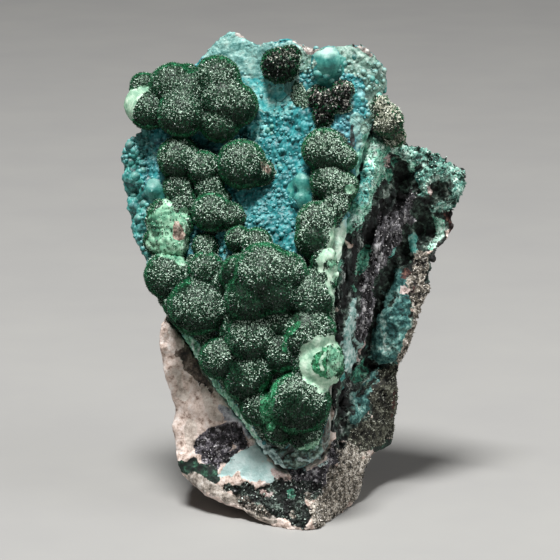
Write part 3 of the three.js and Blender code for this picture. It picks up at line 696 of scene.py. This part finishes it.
ROCK_ZONES = {
    "ore": [[(16, 78, 8), (24, 66, 11.5), (20, 50, 11.5), (14, 34, 9), (12, 18, 5)]],
    # A brown stain beside the crust's edge, darkened also as painted shadow of the crust.
    "brown": [[(-21.7, 32.4, 0.8), (-21.4, 30.6, 1.7), (-19.3, 27.3, 1.6), (-16.4, 22.6, 0.6)]],
    "cream": [
        [(-17.6, 23.6, 0.5), (-16.6, 20.5, 1.3), (-15.9, 17.7, 0.8)],
        [(-20, 15.5, 1.6), (-20.4, 11.5, 1.4)],
        # Partly the rock's pale cream, partly painted light where the crust's shadow falls.
        [(-23.2, 38, 0.8), (-23.4, 35, 1.2), (-22.6, 32.4, 0.8)],
        [(-15.2, 19.6, 0.9), (-14.4, 17.6, 0.6)],
        [(-9.5, -1, 0.8), (-5.5, -2.8, 1)],
        # Painted light: paler tan where the rock lies in the crust's shade.
        [(-22.6, 26.2, 0.8), (-22, 22.4, 1.2)],
    ],
    "violet": [[(-14.2, 19.6, 0.4), (-12.8, 18.2, 1.2), (-10.6, 16.6, 1.1), (-8.4, 14.2, 0.7)]],
    "mottle": [
        [(-17.9, 11.4, 1.4), (-17, 13.8, 1.7), (-12.6, 14.4, 2), (-10.2, 12.4, 1.4)],
        [(-14.2, 12.2, 2.8), (-16.4, 9.2, 1.8), (-13.4, 9.4, 1.2), (-11, 11, 0.9)],
        [(1.4, 5.6, 1.6), (4.4, 5.2, 2.6), (7.2, 7, 1.8)],
        [(0.2, 6.8, 0.9), (3.2, 6.8, 1.2), (6.2, 7.8, 1.4), (8.2, 9.6, 1.4), (8.8, 12.6, 1.1)],
    ],
    "leaf": [
        [(-18, 7.4, 0.9), (-16.4, 6.4, 1.4), (-15.2, 5.2, 0.8)],
        [(-22.8, 7.4, 1.4), (-20.2, 7.4, 1.8)],
        [(16.6, 11.6, 1.2), (19.4, 10.8, 1.8)],
        [(-2.2, 3.4, 0.4), (0.2, 2.8, 0.6)],
    ],
    "ridge": [
        [(20, 75, 2.2), (17, 71.6, 2.6), (16.4, 66, 2.2), (15, 62, 1.6), (13, 58, 2),
         (11, 56, 1.8)],
        [(20.6, 71.4, 1.4), (24.9, 69, 1.4)],
        [(24, 67.8, 0.9)],
        [(28, 57.6, 0.5), (30.2, 56.3, 0.8), (29.7, 53.7, 0.8), (28.2, 51.8, 0.6)],
        [(9.4, 49, 0.8), (8.9, 43, 0.6)],
    ],
    "teal": [
        [(14.8, 67, 1), (14.6, 63.5, 1.5), (13.6, 60.4, 1.2)],
        [(24.8, 53.4, 0.8), (24.6, 51, 0.9)], [(26.2, 66, 0.8), (26.8, 63.6, 0.8)],
        [(21.2, 53, 0.8), (19.8, 50.3, 0.7)],
        [(9.6, 26.8, 0.7), (9.8, 23.2, 0.9), (9.4, 18.6, 0.8)],
    ],
    "wing": [
        [(22.4, 70.6, 1.2), (25.8, 70.2, 2), (29.5, 68, 2.8), (33.4, 65.6, 2),
         (33.2, 62.6, 2), (32, 59.8, 1.6)],
        [(28.6, 59.4, 1), (31, 60.4, 1.4)], [(27, 66, 2), (27, 62.6, 1.4)],
    ],
    "pocket": [
        [(21.8, 46.4, 0.6), (22.2, 43.6, 1.8), (21.6, 40.6, 3), (21, 37, 3.7),
         (19.8, 33.5, 3.8), (18.8, 30.2, 3.1)],
        [(18.6, 26.2, 1.1), (16.8, 24.8, 1.8), (14.9, 22.2, 2), (13.6, 19.4, 1.8),
         (12.4, 16.8, 1.4)],
    ],
    "chalk": [
        [(11.4, 37, 0.9), (11.3, 32.7, 1.3), (11.9, 28.8, 1), (11, 27.2, 0.6)],
        [(12.6, 33, 0.8), (13.8, 32, 0.9)],
        [(12.2, 41.2, 0.3), (11.9, 39.8, 0.7), (12.1, 38, 0.9)],
    ],
    "glaze": [
        [(-14.8, 5.8, 0.5), (-12.4, 7, 1.3), (-9.4, 9.2, 2.2), (-7, 10.2, 2)],
        [(-9.4, 6.6, 1.5), (-6, 7.2, 2), (-3.6, 5.8, 1)],
        [(2.2, 7.6, 0.3)], [(5.4, 8.2, 0.4), (7, 8.8, 0.5)],
    ],
    "foot": [
        [(-12.6, 3.6, 1), (-9.6, 2.4, 2.2), (-5.6, 1.6, 3), (-1.4, 1.8, 3.2), (1.4, -1.6, 2.4)],
        [(-2, 4.4, 1.2), (3.6, 3.6, 2.2)],
        [(-9.2, 0.8, 1), (-4, -0.6, 1.6)],
    ],
    "gravel": [
        [(20.8, 26, 1.4), (19.8, 24, 2.2), (19, 21, 3), (19.2, 16, 3.6), (14.4, 12.4, 2.6)],
    ],
    "grit": [
        [(-19.6, 5.4, 0.9), (-15.6, 3.2, 1.3), (-11.4, 1.4, 1.4), (-7, -0.8, 1.2),
         (-3.4, -2.6, 0.8)],
    ],
    "sugar": [
        [(12, 9.6, 3), (11.2, 4, 4.4), (6.6, -0.8, 3.4)],
        [(25.6, 49.2, 1.4), (25.6, 45.4, 2.4), (26.2, 41, 1.9)],
        [(25.4, 38.2, 1), (23.6, 33, 1), (21.8, 28.4, 0.9)],
        [(-6.6, -0.8, 1.1)], [(0.1, -1, 0.9)], [(3.6, 2.2, 0.8)],
    ],
    "oxide": [
        [(22.8, 61.6, 1.9), (19.2, 58.8, 1.9), (16, 55.6, 1.7), (14, 52.4, 1.7), (12, 48.6, 1.6),
         (10.9, 45.7, 1.6), (10.3, 41.9, 1.5), (9.6, 38.2, 1.1), (9.2, 33, 0.8), (8.7, 28.8, 0.9),
         (9.2, 20, 0.9), (9.4, 12, 0.9)],
        [(12.9, 27.1, 0.7), (11.4, 22.5, 0.9), (10.4, 17.6, 0.9), (10, 12, 0.8)],
    ],
    "sparkle": [
        [(24.2, 61.6, 1.4), (20.6, 55.9, 2.2), (18.2, 51.9, 2.1), (17.2, 48.3, 2.1), (15.6, 45.9, 2.4),
         (14.7, 42.9, 1.7), (14.7, 38.9, 1.7), (13.9, 35.2, 1.4), (13.8, 33, 0.8)],
    ],
    "vein": [
        [(15.4, 51.3, 0.3), (14.6, 49.1, 0.7), (14, 47.1, 0.6), (12.6, 45.9, 0.2), (12.4, 43, 0.25)],
        [(14.8, 27.6, 0.9), (14, 25, 1)], [(20, 66.4, 0.6), (19.8, 64.6, 0.5)],
        [(14.4, 54.7, 0.4)], [(20.8, 68.6, 0.8)], [(-0.5, 2.9, 0.9)],
    ],
    "rust": [
        [(30.4, 58.9, 0.4), (32.5, 56.7, 0.8), (32, 54, 0.5)],
        [(28.4, 62.6, 0.4), (28.2, 61.8, 0.4)], [(20.9, 22, 0.4), (20.4, 17, 0.5)],
        [(23.4, 46.6, 0.5), (23, 45.4, 0.5)], [(24.7, 43.5, 0.5), (24.5, 42.5, 0.5)],
        [(12.4, 55.9, 0.5)],
    ],
    "feldspar": [
        [(-8.6, 12.4, 0.35), (-6.4, 12.2, 0.35)],
        [(-4, 7.2, 0.4), (-2.6, 6.5, 0.9), (-0.9, 5.7, 0.4)],
        [(-5.8, 2.8, 0.3), (-4.4, 2.6, 0.3)],
        [(14.1, 32.2, 0.4), (14.1, 31, 0.4), (13.3, 28.9, 0.3)],
        [(19.1, 69, 0.7), (19.2, 67.8, 0.5)], [(27.6, 64.2, 0.5), (27.8, 62.4, 0.6)],
        [(23.4, 42.6, 0.9)],
    ],
    # Painted shade: near black in the rock's deep clefts and pits, which are also sunk.
    "hollow": [
        [(22, 67, 1), (22.2, 64.6, 1.2)],
        [(25.6, 63.6, 0.7), (24.6, 60.4, 0.9), (26.2, 57.4, 1.3), (26, 55.2, 1.4)],
        [(20.8, 41.6, 0.6), (20, 39.6, 0.8)], [(16.4, 24.2, 0.6), (13.2, 21.4, 0.4)],
        [(22.4, 56.4, 0.6), (22.6, 51.4, 0.8), (23, 49.2, 0.7)],
        [(19.9, 48, 1), (19, 45.2, 1.9), (18, 42.4, 1.6), (17.2, 39.8, 0.8),
         (16.4, 36, 0.6), (15.9, 31, 0.5)],
        [(15.9, 28.3, 0.4), (18, 27.6, 0.3), (20.4, 27.8, 0.3)],
        [(29.6, 64.1, 0.8), (29.5, 63.3, 0.7)],
        [(10.1, 24.4, 0.3), (10, 19.4, 0.5), (9.9, 12, 0.4)],
    ],
}


# ------------------------------ the pieces

def hand_over(piece, material, replaced=None):
    """Gives a piece its material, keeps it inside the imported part's box and passes it on."""
    piece.data.materials.append(material)
    low, high = np.array(cad_box)
    move(piece, np.clip(places(piece), low, high))
    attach(piece, "root")
    if replaced:
        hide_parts(replaced)


def facing(piece):
    """How far each vertex looks out of the specimen's face, from -1 to 1."""
    return on_face(normals(piece) * MM)[:, 2]


# How far zones of the rock stand out, or lie back, in millimetres.
SWELLINGS = {
    "hollow": -1.1, "oxide": -0.5, "vein": -0.3, "sparkle": 0.7, "pocket": 0.9, "chalk": 0.5,
    "wing": 0.6,
}
# The layers of relief, coarse before fine: pattern, grain and height in mm, zone and level.
ROCK_RELIEF = (
    ("SOFT", 7, 1.4, "rough"), ("SOFT", 2.2, 0.6, "rough"), ("SOFT", 0.8, 0.3, "rough"),
    ("HARD", 3, 1.4, "chaotic"), ("HARD", 0.9, 0.9, "chaotic"), ("SOFT", 1.8, 0.9, "pocket"),
    ("HARD", 1.6, 0.9, "ridge"), ("SOFT", 1.2, 0.7, "teal"), ("HARD", 0.5, 0.4, "pocket"),
    ("BEADS", 1.1, 0.8, "wing"), ("BEADS", 0.9, 0.5, "sugar"), ("BEADS", 0.9, 0.5, "gravel"),
)
CRUST_RELIEF = (
    ("SOFT", 5, 1, "beaded"), ("SOFT", 2.6, 1, "beaded"), ("HARD", 1.6, 0.5, "upper"),
    ("SOFT", 2.4, 0.9, "pale"), ("SOFT", 1.2, 0.8, "fibre", 0), ("HARD", 0.7, 0.5, "fibre"),
    ("HARD", 1.4, 1, "tip"), ("SOFT", 1.2, 0.4, "sugar"), ("BEADS", 2.3, 1.3, "margin"),
    ("BEADS", 1.3, 0.4, "beaded"), ("BEADS", 0.7, 0.25, "beaded"),
)
# Grains on the rock: name, zones, dark, middle and light colour, and the share that shines.
GRAINS = (
    ("foot_grains", ("foot",), ("#050b08", "#3a5045", "#cbdad0"), 0.15),
    ("sugar_grains", ("sugar",), ("#1a1712", "#857e70", "#e8e2d8"), 0.4),
    ("sparkle_grains", ("sparkle", "mottle"), ("#0a090c", "#3c393f", "#e6e3e3"), 0.2),
    ("wing_grains", ("wing", "ridge"), ("#1d4c41", "#6fa493", "#bdd8cc"), 0.35),
    ("gravel_grains", ("gravel",), ("#0f110b", "#55574a", "#bcbfae"), 0.3),
)


def shares(points, ahead, zones):
    """How much of each zone lies at each vertex that looks ahead."""
    return {zone: ahead * patch(points, shapes, seed=seed)
            for seed, (zone, shapes) in enumerate(zones.items())}


def most(share, zones):
    """The largest share of any of some zones, at each vertex."""
    return np.maximum.reduce([share[zone] for zone in zones])


def dress_rock():
    rock = fine_copy("host_rock", facet=0.93, rounding=3, lobes=LOBES["host_rock"])
    mantle = solids(["chrysocolla_crust"] + MALACHITE)
    # What shows from the front is made finer, and the broken ground right of the crust and below
    # it is made finer once more.
    refine(rock, (facing(rock) > -0.25) & ~covered(places(rock), mantle))
    points = on_face(places(rock))
    broken = (points[:, 0] > 8) | (points[:, 1] < 14)
    refine(rock, (facing(rock) > 0) & broken & ~covered(places(rock), mantle))
    points = on_face(places(rock))
    side = facing(rock)
    ahead = smoothstep(side, *AHEAD)
    for zone, height in SWELLINGS.items():
        mark(rock, f"{zone}_form", ahead * patch(points, ROCK_ZONES[zone], edge=1.0, ragged=0.3))
        modify(rock, "DISPLACE", vertex_group=f"{zone}_form", strength=height * MM, mid_level=0.0)
    share = shares(points, ahead, ROCK_ZONES)
    share["ore"] = patch(points, ROCK_ZONES["ore"], seed=0) * smoothstep(side, -0.7, -0.3)
    behind = (1 - smoothstep(side, -0.3, 0.3)) * (1 - share["ore"])
    share["film"] = behind * smoothstep(fractal(points, 14, 31), -0.4, 0.8)
    share["iron"] = behind * smoothstep(fractal(points, 11, 32), -0.3, 0.9)
    for zone in share:
        mark(rock, zone, share[zone])
    chaotic = most(share, ("ore", "mottle", "foot"))
    chaotic *= 1 - most(share, ("pocket", "chalk", "glaze", "ridge", "teal"))
    mark(rock, "rough", 1 - share["glaze"])
    mark(rock, "chaotic", chaotic)
    for layer in ROCK_RELIEF:
        relief(rock, *layer)
    # The ore band's platy grain runs along it, which no texture of the modifier can do.
    grain = points * (1.0, 0.22, 0.6) - points[:, 1:2] * (0.28, 0.0, 0.0)
    height = 0.9 * fractal(grain, 0.9, 5, 2) * most(share, ("oxide", "sparkle"))
    move(rock, places(rock) + height[:, None] * normals(rock) * MM)
    # Painted shade: the rock is darkened where it lies below its surroundings, most on broken ground,
    # so that its relief shows.
    broken = np.maximum(chaotic, most(share, ("sugar", "pocket", "ridge", "teal", "wing")))
    mark(rock, "crease", smoothstep(hollows(rock, 3), 0.02, 0.2) * (0.3 + 0.7 * broken))
    hand_over(rock, host_rock(), "host_rock")
    for seed, (name, zones, tones, bright) in enumerate(GRAINS):
        random = np.random.default_rng(40 + seed)
        here = (most(share, zones) > 0.6) & (side > 0)
        seats = np.nonzero(here & (random.random(len(points)) < 0.2))[0]
        tints = 0.15 + 0.8 * random.random(len(seats))
        grown = grow_crystals(rock, name, seats, tints, 0.33, seed, 0.6)
        hand_over(grown, crystal_coat(name, *tones, bright))


def stud_crust(crust):
    """Small round beads that stand alone on the crust, each sunk a little into it."""
    faces = [face.vertices[:] for face in crust.data.polygons]
    surface = BVHTree.FromPolygons(places(crust).tolist(), faces)
    inward = from_face(0, 0, -1).normalized()
    bpy.ops.object.select_all(action="DESELECT")
    made = []
    for x, y, radius in STUDS:
        seat = surface.ray_cast(from_face(x, y, FRONT), inward)[0]
        if seat is None:
            # It hangs on the crust's edge.
            seat = surface.find_nearest(from_face(x, y, 4))[0]
        centre = seat + 0.45 * radius * MM * inward
        bpy.ops.mesh.primitive_ico_sphere_add(subdivisions=3, radius=radius * MM, location=centre)
        made.append(bpy.context.object)
    for bead in made:
        bead.select_set(True)
    bpy.ops.object.join()
    bpy.ops.object.transform_apply(location=True, rotation=True, scale=True)
    studs = bpy.context.object
    studs.name = "crust_beads"
    bpy.ops.object.shade_smooth()
    relief(studs, "SOFT", 0.8, 0.25)
    mark(studs, "margin", np.full(len(studs.data.vertices), 1.0))
    # Dusting on the beads' upper faces, partly a painted highlight.
    mark(studs, "dust", 0.2 * smoothstep(normals(studs)[:, 2], -0.2, 0.6))
    hand_over(studs, crust.data.materials[0])


def scatter_beads(crust, share, zones):
    """A crowd of small round beads, each half sunk in the crust under it, in one mesh.

    It is mesh code because they are more than the edit tools can set one by one.
    """
    random = np.random.default_rng(11)
    points = on_face(places(crust))
    crowd = share["beaded"] * smoothstep(fractal(points, 5.0, 21), -0.5, 0.6)
    seats = np.nonzero((random.random(len(points)) < 0.05 * crowd) & (facing(crust) > 0.2))[0]
    bpy.ops.mesh.primitive_uv_sphere_add(segments=8, ring_count=5, radius=1)
    model = bpy.context.object
    shape = places(model)
    sides = [face.vertices[:] for face in model.data.polygons]
    bpy.data.objects.remove(model)
    # Most are under 0.25 mm in radius, a few up to 0.7 mm, and larger at the margin.
    radius = (0.18 + 0.5 * random.random(len(seats)) ** 4 + 0.25 * share["margin"][seats]) * MM
    foot, up = places(crust)[seats], normals(crust)[seats]
    points = (foot - 0.2 * radius[:, None] * up)[:, None] + radius[:, None, None] * shape
    faces = [[first * len(shape) + corner for corner in side]
             for first in range(len(seats)) for side in sides]
    mesh = bpy.data.meshes.new("crust_bead_crowd")
    mesh.from_pydata(points.reshape(-1, 3).tolist(), [], faces)
    crowd = new_object("crust_bead_crowd", mesh)
    activate(crowd)
    bpy.ops.object.shade_smooth()
    for zone in zones:
        mark(crowd, zone, np.repeat(share[zone][seats], len(shape)))
    # Painted shade on the lower part of each bead, where it meets the crust, and painted light on the
    # faces that look up.
    height = (shape @ up.T).T.ravel()
    mark(crowd, "crease", 0.8 * (1 - smoothstep(height, 0.1, 0.6)))
    mark(crowd, "top", 0.45 * smoothstep(normals(crowd)[:, 2], 0.0, 0.9))
    hand_over(crowd, crust.data.materials[0])


def dress_crust(coat):
    crust = fine_copy("chrysocolla_crust", facet=0.8, rounding=4)
    balls = solids(MALACHITE)
    # The front is made finer twice, the second time only where it shows.
    refine(crust, facing(crust) > -0.3)
    refine(crust, (facing(crust) > -0.2) & ~covered(places(crust), balls))
    points, side = on_face(places(crust)), facing(crust)
    near = distances(places(crust), balls)
    ahead = smoothstep(side, *AHEAD)
    share = shares(points, ahead, CRUST_ZONES)
    for zone in share:
        if zone != "bubble":
            share[zone] *= 1 - share["bubble"]
    share["sugar"] *= smoothstep(side, 0.0, 0.4)
    share["matrix"] = 1 - smoothstep(side, -0.5, 0.0)
    # A narrow dark green foot around each ball: partly green velvet, partly painted shade where the
    # crust meets the ball.
    foot_and_contact_shade = 1 - smoothstep(near + 0.3 * noise(points, 1.2, 3), 0.3, 0.9)
    share["velvet"] = np.maximum(share["velvet"], foot_and_contact_shade)
    for zone in ("pale", "fibre", "bubble", "matrix", "tip", "film", "strand"):
        share["velvet"] *= 1 - share[zone]
    share["beaded"] = ahead * (1 - np.maximum(share["velvet"], share["pale"])) * (1 - share["bubble"])
    share["beaded"] *= 1 - 0.85 * share["upper"]
    for zone in ("fibre", "tip", "film", "strand"):
        share["beaded"] *= 1 - share[zone]
    for zone in share:
        mark(crust, zone, share[zone])
    modify(crust, "SMOOTH", factor=0.5, iterations=14, vertex_group="bubble")
    for layer in CRUST_RELIEF:
        relief(crust, *layer)
    depth = hollows(crust, 4)
    # Painted shade: the crust is darkened where it lies below its surroundings, less so on sugar.
    mark(crust, "crease", 0.8 * ahead * (1 - 0.5 * share["sugar"]) * smoothstep(depth, -0.02, 0.14))
    # Raised tops and the listed spots are made pale: partly dusting, partly painted light where the
    # crust lies in shade.
    pale_tops_and_painted_light = patch(points, PALE_SPOTS_AND_PAINTED_LIGHT, seed=15)
    pale_tops_and_painted_light = 0.3 * smoothstep(-depth, 0.0, 0.12) + 0.7 * pale_tops_and_painted_light
    mark(crust, "top", (1 - 0.6 * share["sugar"]) * pale_tops_and_painted_light)
    # Dusting on the bubbles' upper faces, partly a painted highlight, more of it near the top of the
    # specimen.
    dust = (0.2 + 0.6 * smoothstep(points[:, 1], 70, 80)) * share["bubble"]
    mark(crust, "dust", dust * smoothstep(normals(crust)[:, 2], 0.3, 0.95))
    hand_over(crust, chrysocolla(), "chrysocolla_crust")
    stud_crust(crust)
    scatter_beads(crust, share, ("upper", "margin", "sugar", "mint", "teal"))
    random = np.random.default_rng(7)
    chosen = (share["velvet"] > 0.6) & (random.random(len(points)) < 0.75)
    seats = np.nonzero(chosen & (side > -0.25))[0]
    tints = 0.15 + 0.7 * random.random(len(seats)) ** 1.3
    grown = grow_crystals(crust, "crust_crystals", seats, tints, 0.32, 7)
    hand_over(grown, coat)


# How thick the pale frost of crystals lies, where it isn't 1.
FROST = {"malachite_right_column": 1.25, "malachite_upper_left": 0.84, "malachite_shoulder": 2.0}
# Coats of crystals that aren't plain green: material, dark, middle and light colour, and share.
ODD_COATS = {
    "malachite_top_ball": ("malachite_dark_needles", "#030a06", "#1c3325", "#ccd0c2", 0.3),
    "malachite_crown_tuft": ("oxide_crystals", "#050606", "#282827", "#d2d0c6", 0.3),
    "malachite_shoulder": ("stained_needles", "#0a120b", "#727a66", "#dadccc", 0.62),
}
# How far a ball swells and its underside sinks into the crust, in millimetres.
SWELL, SINK = 0.3, 0.9
# The size of its crystals in millimetres, and the share of the vertices that may carry one.
FINE, COARSE, CLOSE = 0.31, 0.42, 0.85


def dress_malachite(usual):
    velvet = malachite_base()
    for seed, node in enumerate(MALACHITE):
        body = fine_copy(node, facet=0.3, rounding=44, lobes=LOBES.get(node, ()))
        inward = np.array(from_face(0, 0, -1))
        sunk = smoothstep(-facing(body), 0.1, 0.6)[:, None] * inward * SINK
        grown = places(body) + sunk + SWELL * MM * normals(body)
        # The foremost ball gives way by the length of its crystals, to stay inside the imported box.
        grown[:, 1] += 0.7 * MM * np.exp((cad_box[0][1] - grown[:, 1]) / (1.2 * MM))
        move(body, grown)
        relief(body, "SOFT", 1.6, 0.3)
        if node in ODD_COATS:
            relief(body, "HARD", 1.6, 1.2)
        points, side = on_face(places(body)), facing(body)
        share = {
            "white_rind": patch(points, WHITE_RIND, edge=0.25, ragged=0.5, grain=1.6, seed=2),
            "green_rind": patch(points, GREEN_RIND, seed=3),
            "stain": patch(points, STAIN, ragged=0.4, seed=6),
            "rim": patch(points, BRIGHT_RIM, seed=5),
        }
        # Painted shade: the pale frost is thinned on the listed places that lie in shade.
        frost = FROST.get(node, 1) * (1 - 0.7 * patch(points, FROST_SHADE, edge=1.2, seed=12))
        frost *= 1 + 0.6 * patch(points, THICK, edge=1.2, seed=13)
        if node == "malachite_upper_left":
            crescent = patch(points, CRESCENT, edge=0.15, ragged=0)
            share["white_rind"] = np.maximum(share["white_rind"], crescent)
        bare = np.maximum.reduce([
            share["white_rind"], 0.85 * share["green_rind"], 0.4 * share["stain"], 0.6 * share["rim"],
        ])
        share["white_rind"] *= smoothstep(side, 0.0, 0.3)
        around = 1 - smoothstep(side, -0.1, 0.2)
        # Painted sheen: a green band where the ball turns away from the face, besides the listed
        # bright edges.
        share["rim"] = np.maximum(share["rim"], (1 - smoothstep(side, 0.25, 0.7)) * (1 - around))
        for zone in share:
            mark(body, zone, share[zone])
        relief(body, "HARD", 1.8, 1.1, "green_rind")
        hand_over(body, velvet, node)
        random = np.random.default_rng(seed)
        # Crystals grow everywhere but on the rinds. Fewer are pale in dips, below and where a ball
        # turns away from the face, as painted shade, and more are pale where they look up, as painted
        # light.
        keep = (side > -0.4) & (random.random(len(points)) > bare)
        seats = np.nonzero(keep & (random.random(len(points)) < CLOSE))[0]
        crease_shade_factor = smoothstep(hollows(body, 20), 0.0, 0.36)
        top_light_factor = 0.25 + 0.75 * smoothstep(normals(body)[:, 2] + 0.3 * side, -0.2, 0.8)
        edge_shade_factor = 0.4 + 0.6 * np.maximum(smoothstep(side, 0.3, 0.8), around)
        light = ((1 - 0.9 * crease_shade_factor) * top_light_factor * edge_shade_factor * frost)[seats]
        tints = 0.15 + 0.85 * random.random(len(seats)) ** 1.25 * light
        # Crystals on the green edge take the lowest tint: the green of the painted sheen.
        tints[random.random(len(seats)) < 0.8 * share["rim"][seats]] = 0.05
        size = COARSE if node in ODD_COATS else FINE
        coat = grow_crystals(body, f"{node}_crystals", seats, tints, size, seed)
        coating = crystal_coat(*ODD_COATS[node]) if node in ODD_COATS else usual
        hand_over(coat, coating)


# ------------------------------ table, light and camera

def set_table_and_light():
    bpy.ops.mesh.primitive_plane_add(size=6)
    table = bpy.context.object
    table.name = "table"
    # A pale matt board, with the slight cloudiness of hand-made paper.
    material, tree, place = start_material("pale_paper_board")
    clouds = add(tree, "TexNoise", lumps(place, 40.0))
    colour = add(tree, "ValToRGB", {"Fac": clouds}, stops=((0.3, "#939290"), (0.7, "#979693")))
    finish_material(tree, Base_Color=colour, Roughness=0.6)
    table.data.materials.append(material)
    middle = from_face(0, 45, 8)
    # Softboxes: place and size in metres, and power in watts.
    for name, spot, size, power in (
        ("key_softbox", (-0.17, -0.44, 1.47), 0.4, 47),
        ("left_fill", (-0.6, -0.3, 0.35), 0.4, 0.25),
        ("right_fill", (0.5, -0.22, 0.42), 0.3, 1.8),
    ):
        lamp = bpy.data.lights.new(name, "AREA")
        lamp.size = size
        lamp.energy = power
        light = new_object(name, lamp)
        light.location = spot
        light.rotation_euler = (middle - Vector(spot)).to_track_quat("-Z", "Y").to_euler()
    world = bpy.data.worlds.new("studio")
    world.use_nodes = True
    sky = world.node_tree.nodes["Background"].inputs
    sky["Color"].default_value = linear("#c9ccd0")
    sky["Strength"].default_value = 0.035
    bpy.context.scene.world = world
    bpy.context.scene.view_settings.view_transform = "Standard"


def set_camera():
    lens = bpy.data.cameras.new("camera")
    lens.lens = 200
    camera = new_object("camera", lens)
    distance = 0.622
    towards = Vector((0, -math.cos(LEAN), math.sin(LEAN)))
    camera.location = from_face(-2.4, 44.9, 8) + distance * towards
    camera.rotation_euler = (math.pi / 2 - LEAN, 0, 0)
    bpy.context.scene.camera = camera


set_camera()
set_table_and_light()
needles = crystal_coat("malachite_needles", "#001a0b", "#1b583a", "#cfe6d4", 0.5)
dress_rock()
dress_crust(needles)
dress_malachite(needles)
